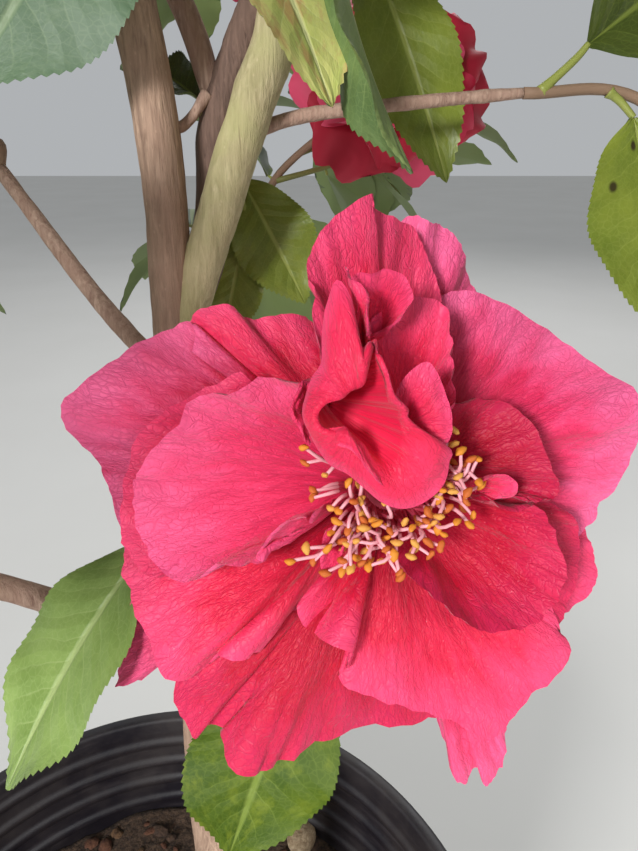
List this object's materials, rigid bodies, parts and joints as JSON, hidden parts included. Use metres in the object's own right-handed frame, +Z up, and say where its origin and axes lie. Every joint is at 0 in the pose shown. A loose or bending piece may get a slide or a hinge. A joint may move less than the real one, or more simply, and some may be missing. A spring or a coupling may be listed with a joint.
{
  "type": "potted camellia shrub",
  "caption": "Young camellia shrub with a forked trunk, spreading boughs, leafy masses and a large red bloom, rooted in a tapered nursery pot of soil.",
  "frame": {"origin": "centre of the pot's flat underside", "axes": "+Z up, -Y towards the side that the large bloom faces, +X to the right seen from there"},
  "size_m": [0.5913, 0.5754, 0.9964],
  "materials": {
    "pot": "black blow-moulded plastic, satin",
    "soil": "dark bark and peat mix, rough",
    "bark": "smooth grey-brown bark, greener on younger wood",
    "leaf": "glossy leathery leaf",
    "petal": "soft matt petal"
  },
  "bodies": {
    "root": {"pot": "pot", "soil": "soil", "trunk": "bark", "left_stem": "bark", "right_stem": "bark", "middle_stem": "bark", "bough_low_right": "bark", "bough_low_back": "bark", "bough_low_left": "bark", "bough_low_front_left": "bark", "bough_waist_front_right": "bark", "bough_waist_right": "bark", "bough_waist_back": "bark", "bough_waist_back_left": "bark", "bough_waist_left": "bark", "bough_shoulder_front": "bark", "bough_shoulder_right": "bark", "bough_shoulder_back_right": "bark", "bough_shoulder_back_left": "bark", "bough_shoulder_left": "bark", "bough_high_front": "bark", "bough_high_back": "bark", "bough_high_left": "bark", "main_bloom": "petal", "bloom_spray": "leaf", "top_spray": "leaf", "back_spray": "leaf", "hanging_spray": "leaf", "foliage_low_right": "leaf", "foliage_low_back": "leaf", "foliage_low_left": "leaf", "foliage_low_front_left": "leaf", "foliage_waist_front_right": "leaf", "foliage_waist_right": "leaf", "foliage_waist_back": "leaf", "foliage_waist_back_left": "leaf", "foliage_waist_left": "leaf", "foliage_shoulder_front": "leaf", "foliage_shoulder_right": "leaf", "foliage_shoulder_back_right": "leaf", "foliage_shoulder_back_left": "leaf", "foliage_shoulder_left": "leaf", "foliage_high_front": "leaf", "foliage_high_back": "leaf", "foliage_high_left": "leaf", "foliage_top": "leaf"}
  },
  "joints": []
}
